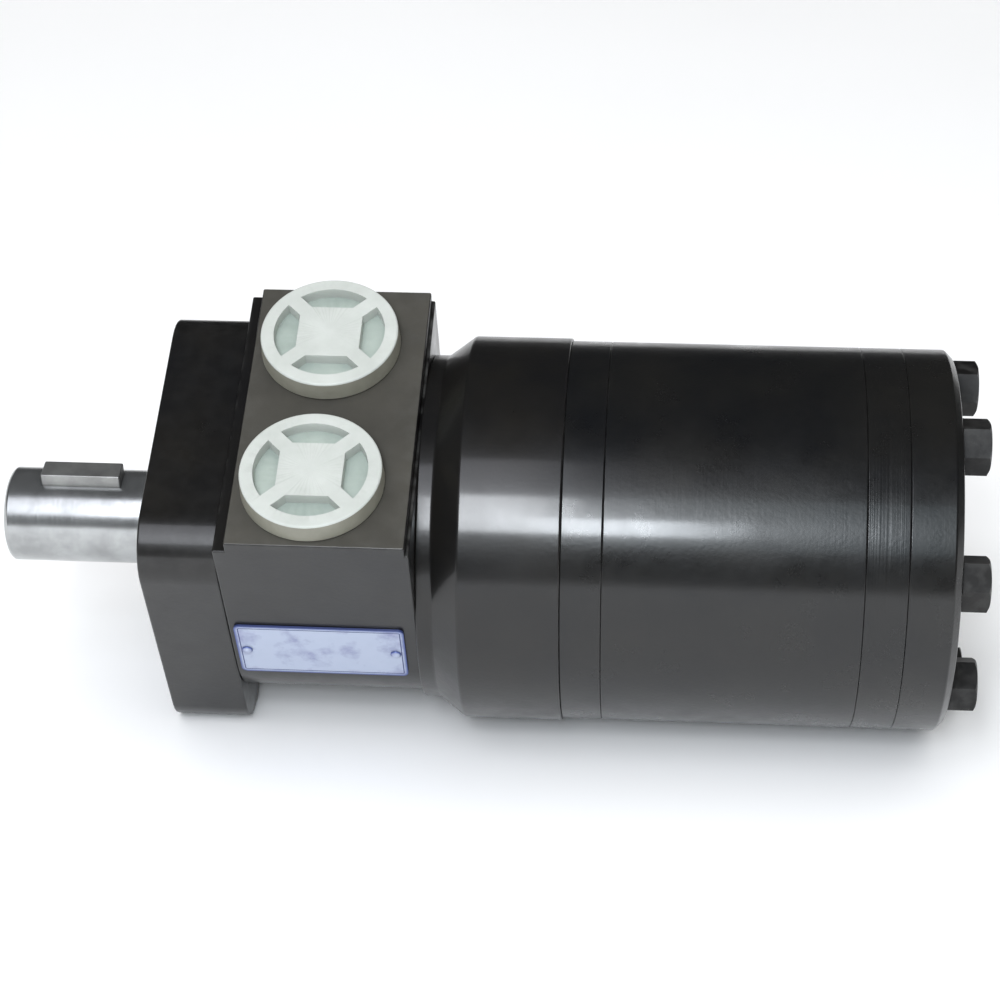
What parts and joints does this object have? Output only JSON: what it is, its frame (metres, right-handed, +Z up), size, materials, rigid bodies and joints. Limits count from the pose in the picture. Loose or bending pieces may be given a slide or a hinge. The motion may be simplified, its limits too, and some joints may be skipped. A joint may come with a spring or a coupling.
{
  "type": "hydraulic motor",
  "caption": "Low-speed, high-torque hydraulic orbit motor with a keyed shaft, a square face-mount flange, side ports with plastic plugs and a bolted round body.",
  "frame": {"origin": "centre of the output shaft's end face, on the shaft axis; the flange's mounting face is 45.5 mm behind it", "axes": "+X along the shaft from its free end towards the end cap; +Z up as the motor lies on a bench, on its barrel and one flange corner, which leans the port face 24 degrees from +Z towards -Y"},
  "size_m": [0.2592, 0.11, 0.1163],
  "materials": {
    "black_paint": "semi-gloss black enamel over castings and ground plates",
    "ground_steel": "ground, turned highlights",
    "key_steel": "bright drawn bar, slightly dulled",
    "hard_steel": "hardened and ground",
    "black_fastener": "black finish, satin",
    "spacer_iron": "machined",
    "seal_rubber": "moulded nitrile",
    "pale_plastic": "pale mint moulded polyethylene",
    "plate_metal": "pale anodised sheet, lightly smudged"
  },
  "bodies": {
    "motor_body": {"mounting_flange": "black_paint", "flange_screw_1": "black_fastener", "flange_screw_2": "black_fastener", "flange_screw_3": "black_fastener", "flange_screw_4": "black_fastener", "dust_seal": "seal_rubber", "shaft_seal": "seal_rubber", "backup_washer": "hard_steel", "flange_seal": "seal_rubber", "front_thrust_race": "hard_steel", "housing": "black_paint", "port_plug_a": "pale_plastic", "port_plug_b": "pale_plastic", "check_plug_a": "black_fastener", "check_plug_b": "black_fastener", "nameplate": "plate_metal", "nameplate_pin_1": "plate_metal", "nameplate_pin_2": "plate_metal", "housing_seal": "seal_rubber", "spacer_plate": "black_paint", "ring_front_seal": "seal_rubber", "geroler_ring": "black_paint", "ring_rear_seal": "seal_rubber", "wear_plate": "black_paint", "end_cap_seal": "seal_rubber", "end_cap": "black_paint", "end_bolt_1": "black_fastener", "end_bolt_2": "black_fastener", "end_bolt_3": "black_fastener", "end_bolt_4": "black_fastener", "end_bolt_5": "black_fastener", "end_bolt_6": "black_fastener", "end_bolt_7": "black_fastener"},
    "shaft": {"output_shaft": "ground_steel", "shaft_key": "key_steel", "rear_thrust_race": "hard_steel"},
    "thrust_cage": {"thrust_bearing": "hard_steel"},
    "orbit_centre": {"drive_spacer": "spacer_iron"},
    "star": {"star": "hard_steel"},
    "drive": {"drive_shaft": "hard_steel"},
    "roller_1": {"roller_1": "hard_steel"},
    "roller_2": {"roller_2": "hard_steel"},
    "roller_3": {"roller_3": "hard_steel"},
    "roller_4": {"roller_4": "hard_steel"},
    "roller_5": {"roller_5": "hard_steel"},
    "roller_6": {"roller_6": "hard_steel"},
    "roller_7": {"roller_7": "hard_steel"},
    "check_ball_a": {"check_ball_a": "hard_steel"},
    "check_ball_b": {"check_ball_b": "hard_steel"}
  },
  "joints": [
    {"name": "shaft_turn", "type": "hinge", "parent": "motor_body", "child": "shaft", "pos_m": [0, 0, 0], "axis": [1, 0, 0], "continuous": true},
    {"name": "thrust_cage_turn", "type": "hinge", "parent": "motor_body", "child": "thrust_cage", "pos_m": [0.0683, 0, 0], "axis": [1, 0, 0], "continuous": true},
    {"name": "orbit_turn", "type": "hinge", "parent": "motor_body", "child": "orbit_centre", "pos_m": [0.2242, 0, 0], "axis": [1, 0, 0], "continuous": true},
    {"name": "star_turn", "type": "hinge", "parent": "orbit_centre", "child": "star", "pos_m": [0.19505, -0.0013, 0.00292], "axis": [1, 0, 0], "continuous": true},
    {"name": "drive_turn", "type": "hinge", "parent": "orbit_centre", "child": "drive", "pos_m": [0.1175, 0, 0], "axis": [0.9994, -0.0138, 0.0311], "continuous": true},
    {"name": "roller_1_turn", "type": "hinge", "parent": "motor_body", "child": "roller_1", "pos_m": [0.19505, -0.02632, 0.02231], "axis": [1, 0, 0], "continuous": true},
    {"name": "roller_2_turn", "type": "hinge", "parent": "motor_body", "child": "roller_2", "pos_m": [0.19505, -0.03385, -0.00667], "axis": [1, 0, 0], "continuous": true},
    {"name": "roller_3_turn", "type": "hinge", "parent": "motor_body", "child": "roller_3", "pos_m": [0.19505, -0.01589, -0.03062], "axis": [1, 0, 0], "continuous": true},
    {"name": "roller_4_turn", "type": "hinge", "parent": "motor_body", "child": "roller_4", "pos_m": [0.19505, 0.01403, -0.03152], "axis": [1, 0, 0], "continuous": true},
    {"name": "roller_5_turn", "type": "hinge", "parent": "motor_body", "child": "roller_5", "pos_m": [0.19505, 0.03339, -0.00868], "axis": [1, 0, 0], "continuous": true},
    {"name": "roller_6_turn", "type": "hinge", "parent": "motor_body", "child": "roller_6", "pos_m": [0.19505, 0.02761, 0.02069], "axis": [1, 0, 0], "continuous": true},
    {"name": "roller_7_turn", "type": "hinge", "parent": "motor_body", "child": "roller_7", "pos_m": [0.19505, 0.00103, 0.03449], "axis": [1, 0, 0], "continuous": true},
    {"name": "check_ball_a_slide", "type": "slide", "parent": "motor_body", "child": "check_ball_a", "axis": [1, 0, 0], "range_m": [0, 0.0012]},
    {"name": "check_ball_b_slide", "type": "slide", "parent": "motor_body", "child": "check_ball_b", "axis": [1, 0, 0], "range_m": [0, 0.0012]}
  ],
  "couplings": [
    {"joint": "thrust_cage_turn", "follows": "shaft_turn", "ratio": 0.5},
    {"joint": "orbit_turn", "follows": "shaft_turn", "ratio": -6},
    {"joint": "star_turn", "follows": "shaft_turn", "ratio": 7},
    {"joint": "drive_turn", "follows": "shaft_turn", "ratio": 7},
    {"joint": "roller_1_turn", "follows": "shaft_turn", "ratio": -4.442},
    {"joint": "roller_2_turn", "follows": "shaft_turn", "ratio": -4.442},
    {"joint": "roller_3_turn", "follows": "shaft_turn", "ratio": -4.442},
    {"joint": "roller_4_turn", "follows": "shaft_turn", "ratio": -4.442},
    {"joint": "roller_5_turn", "follows": "shaft_turn", "ratio": -4.442},
    {"joint": "roller_6_turn", "follows": "shaft_turn", "ratio": -4.442},
    {"joint": "roller_7_turn", "follows": "shaft_turn", "ratio": -4.442}
  ]
}
